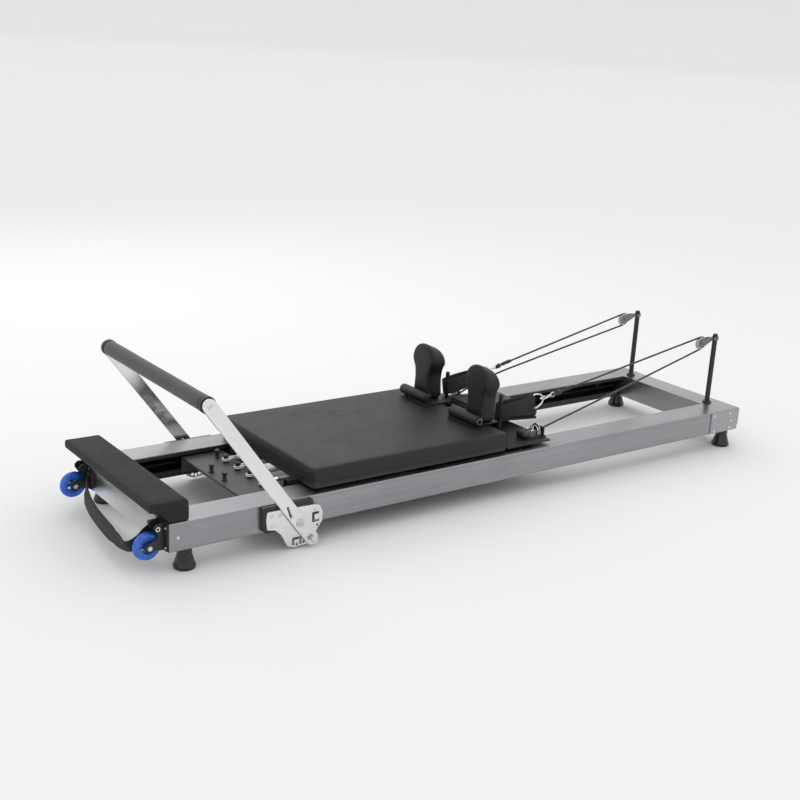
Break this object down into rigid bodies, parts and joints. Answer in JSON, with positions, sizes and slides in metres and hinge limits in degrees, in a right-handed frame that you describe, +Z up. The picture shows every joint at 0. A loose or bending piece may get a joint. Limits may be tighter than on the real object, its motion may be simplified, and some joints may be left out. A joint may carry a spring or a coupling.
{
  "type": "pilates reformer",
  "caption": "Low exercise frame with a padded sliding carriage on springs, folding footbar, shoulder rests, headrest, hand loops on ropes over post pulleys, and transport wheels.",
  "frame": {"origin": "centre of the bounding box at floor level, under the feet", "axes": "+X from the footbar end to the head end where the pulley posts stand, +Y to the left of someone looking along +X, +Z up"},
  "size_m": [2.5029, 0.722, 0.5159],
  "materials": {
    "rail_aluminium": "clear anodised, fine brushing along the length",
    "polished_steel": "polished flat bar with a brushed grain",
    "zinc_steel": "bright zinc plated",
    "black_plate": "satin black powder coat",
    "spring_plate_paint": "fine-textured dark grey powder coat",
    "gloss_black_plastic": "moulded, semi-gloss",
    "black_plastic": "moulded, satin",
    "white_plastic": "low-friction, plain",
    "black_rubber": "matt",
    "grip_foam": "closed-cell foam tube with fine pores",
    "vinyl_black": "leather-grained upholstery vinyl, satin",
    "vinyl_grey": "leather-grained upholstery vinyl, satin",
    "platform_cover": "fine-grained matt dark grey vinyl",
    "plywood": "birch plywood, plain lacquer",
    "blue_urethane": "translucent blue polyurethane",
    "blue_hub": "translucent blue moulded core",
    "webbing": "woven nylon webbing",
    "rope": "braided polyester",
    "spring_steel": "bright spring wire"
  },
  "bodies": {
    "frame": {"rail_near": "rail_aluminium", "rail_far": "rail_aluminium", "foot_beam": "rail_aluminium", "head_beam": "rail_aluminium", "corner_plates": "rail_aluminium", "frame_bolts": "zinc_steel", "feet": "gloss_black_plastic", "platform_cover": "platform_cover", "platform_board": "plywood", "spring_plate": "spring_plate_paint", "spring_pegs": "black_plastic", "rail_stops": "black_rubber", "selector_plates": "polished_steel", "backing_plates": "black_plastic", "pivot_bolts": "zinc_steel", "wheel_forks": "black_plate", "wheel_bolts": "zinc_steel", "carry_strap": "webbing", "strap_anchors": "zinc_steel", "posts": "black_plate", "pulley_eyes": "zinc_steel", "pulley_blocks": "polished_steel"},
    "carriage": {"carriage_deck": "black_plastic", "carriage_pad": "vinyl_grey", "carriage_frame": "black_plate", "side_glides": "white_plastic", "shoulder_pad_near": "vinyl_black", "shoulder_pad_far": "vinyl_black", "rest_rolls": "vinyl_black", "rest_brackets": "black_plate", "headrest_bracket": "black_plate", "loop_near": "webbing", "loop_far": "webbing", "line_hooks": "polished_steel", "rope_near": "rope", "rope_far": "rope", "rope_sleeves": "black_plastic", "cleat_bases": "black_plate", "cleat_cams": "black_plastic", "springs": "spring_steel"},
    "headrest": {"headrest_plate": "black_plastic", "headrest_pad": "vinyl_grey"},
    "footbar": {"footbar_arm_near": "polished_steel", "footbar_arm_far": "polished_steel", "grip_tube": "polished_steel", "grip_foam": "grip_foam", "grip_caps": "black_plastic", "grip_bolts": "zinc_steel"},
    "lock_near": {"lock_plunger_near": "zinc_steel"},
    "lock_far": {"lock_plunger_far": "zinc_steel"},
    "wheel_near": {"wheel_tyre_near": "blue_urethane", "wheel_hub_near": "blue_hub"},
    "wheel_far": {"wheel_tyre_far": "blue_urethane", "wheel_hub_far": "blue_hub"},
    "pulley_near": {"sheave_near": "white_plastic"},
    "pulley_far": {"sheave_far": "white_plastic"},
    "roller_front_near": {"roller_front_near": "black_rubber"},
    "roller_front_far": {"roller_front_far": "black_rubber"},
    "roller_rear_near": {"roller_rear_near": "black_rubber"},
    "roller_rear_far": {"roller_rear_far": "black_rubber"}
  },
  "joints": [
    {"name": "carriage_slide", "type": "slide", "parent": "frame", "child": "carriage", "axis": [1, 0, 0], "range_m": [0, 0.8], "deforming": ["springs", "rope_near", "rope_far", "rope_sleeves"]},
    {"name": "headrest_tilt", "type": "hinge", "parent": "carriage", "child": "headrest", "pos_m": [0.117, 0, 0.212], "axis": [0, -1, 0], "range_deg": [0, 30]},
    {"name": "footbar_fold", "type": "hinge", "parent": "frame", "child": "footbar", "pos_m": [-0.749, 0, 0.0884], "axis": [0, 1, 0], "range_deg": [-33, 38]},
    {"name": "lock_near_pull", "type": "slide", "parent": "footbar", "child": "lock_near", "axis": [0, 1, 0], "range_m": [0, 0.009]},
    {"name": "lock_far_pull", "type": "slide", "parent": "footbar", "child": "lock_far", "axis": [0, -1, 0], "range_m": [0, 0.009]},
    {"name": "wheel_near_spin", "type": "hinge", "parent": "frame", "child": "wheel_near", "pos_m": [-1.203, -0.267, 0.082], "axis": [0, 1, 0], "continuous": true},
    {"name": "wheel_far_spin", "type": "hinge", "parent": "frame", "child": "wheel_far", "pos_m": [-1.203, 0.267, 0.082], "axis": [0, 1, 0], "continuous": true},
    {"name": "pulley_near_spin", "type": "hinge", "parent": "frame", "child": "pulley_near", "pos_m": [1.101, -0.204, 0.399], "axis": [0, 1, 0], "continuous": true},
    {"name": "pulley_far_spin", "type": "hinge", "parent": "frame", "child": "pulley_far", "pos_m": [1.101, 0.204, 0.399], "axis": [0, 1, 0], "continuous": true},
    {"name": "roller_front_near_spin", "type": "hinge", "parent": "carriage", "child": "roller_front_near", "pos_m": [-0.595, -0.277, 0.12], "axis": [0, 1, 0], "continuous": true},
    {"name": "roller_front_far_spin", "type": "hinge", "parent": "carriage", "child": "roller_front_far", "pos_m": [-0.595, 0.277, 0.12], "axis": [0, 1, 0], "continuous": true},
    {"name": "roller_rear_near_spin", "type": "hinge", "parent": "carriage", "child": "roller_rear_near", "pos_m": [0.225, -0.277, 0.12], "axis": [0, 1, 0], "continuous": true},
    {"name": "roller_rear_far_spin", "type": "hinge", "parent": "carriage", "child": "roller_rear_far", "pos_m": [0.225, 0.277, 0.12], "axis": [0, 1, 0], "continuous": true}
  ],
  "couplings": [
    {"joint": "roller_front_near_spin", "follows": "carriage_slide", "rad_per_m": 62.5},
    {"joint": "roller_front_far_spin", "follows": "carriage_slide", "rad_per_m": 62.5},
    {"joint": "roller_rear_near_spin", "follows": "carriage_slide", "rad_per_m": 62.5},
    {"joint": "roller_rear_far_spin", "follows": "carriage_slide", "rad_per_m": 62.5}
  ]
}
